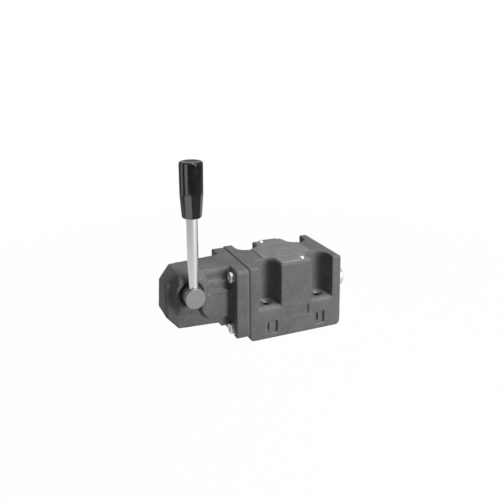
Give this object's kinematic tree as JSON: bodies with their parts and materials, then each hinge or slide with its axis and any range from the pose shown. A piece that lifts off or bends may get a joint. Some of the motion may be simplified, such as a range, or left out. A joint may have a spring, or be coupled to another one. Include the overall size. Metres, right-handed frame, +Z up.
{
  "type": "hand lever directional control valve",
  "caption": "Directional control valve for a mounting plate: cast body with deep bolt pockets, side lever on a cast housing, and a crank and fork that shift a spring-centred spool.",
  "frame": {"origin": "centre of the rectangle of the mounting bolts, on the base face", "axes": "+X along the spool towards the end plug, away from the lever; +Y away from the side where the lever stands; +Z up, square to the base face"},
  "size_m": [0.1865, 0.0733, 0.1725],
  "materials": {
    "casting": "satin grey coat over a fine-grained casting",
    "plate": "satin",
    "bright_screw": "bright",
    "rubber": "matt",
    "gasket": "matt fibre sheet",
    "zinc_screw": "bright zinc",
    "machined_steel": "turned",
    "bronze": "turned",
    "dark_steel": "blackened",
    "polished_steel": "polished",
    "grip_plastic": "moulded, glossy",
    "brass": "turned",
    "spring_steel": "drawn wire"
  },
  "bodies": {
    "base": {"valve_body": "casting", "nameplate": "plate", "nameplate_screws": "bright_screw", "port_orings": "rubber", "lever_housing": "casting", "housing_gasket": "gasket", "housing_screws": "zinc_screw", "shaft_bush_front": "bronze", "shaft_bush_rear": "bronze", "shaft_seal": "rubber", "spring_cup": "dark_steel", "spring_left": "spring_steel", "spring_right": "spring_steel", "end_plug": "zinc_screw", "end_plug_oring": "rubber"},
    "lever": {"lever_shaft": "machined_steel", "crank_arm": "dark_steel", "crank_pin": "dark_steel", "lever_rod": "polished_steel", "handle_knob": "grip_plastic", "knob_insert": "brass"},
    "spool_set": {"spool": "machined_steel", "operating_rod": "machined_steel", "rod_fork": "dark_steel", "fork_lock_nut": "zinc_screw", "spring_seat_left": "dark_steel", "spring_seat_right": "dark_steel"}
  },
  "joints": [
    {"name": "lever_swing", "type": "hinge", "parent": "base", "child": "lever", "pos_m": [-0.0986, 0, 0.0516], "axis": [0, 1, 0], "range_deg": [-17, 17], "stiffness_Nm_per_rad": 3.65},
    {"name": "spool_slide", "type": "slide", "parent": "base", "child": "spool_set", "axis": [1, 0, 0], "range_m": [-0.0046, 0.0046], "deforming": ["spring_left", "spring_right"]}
  ],
  "couplings": [
    {"joint": "spool_slide", "follows": "lever_swing", "m_per_rad": -0.0154}
  ]
}
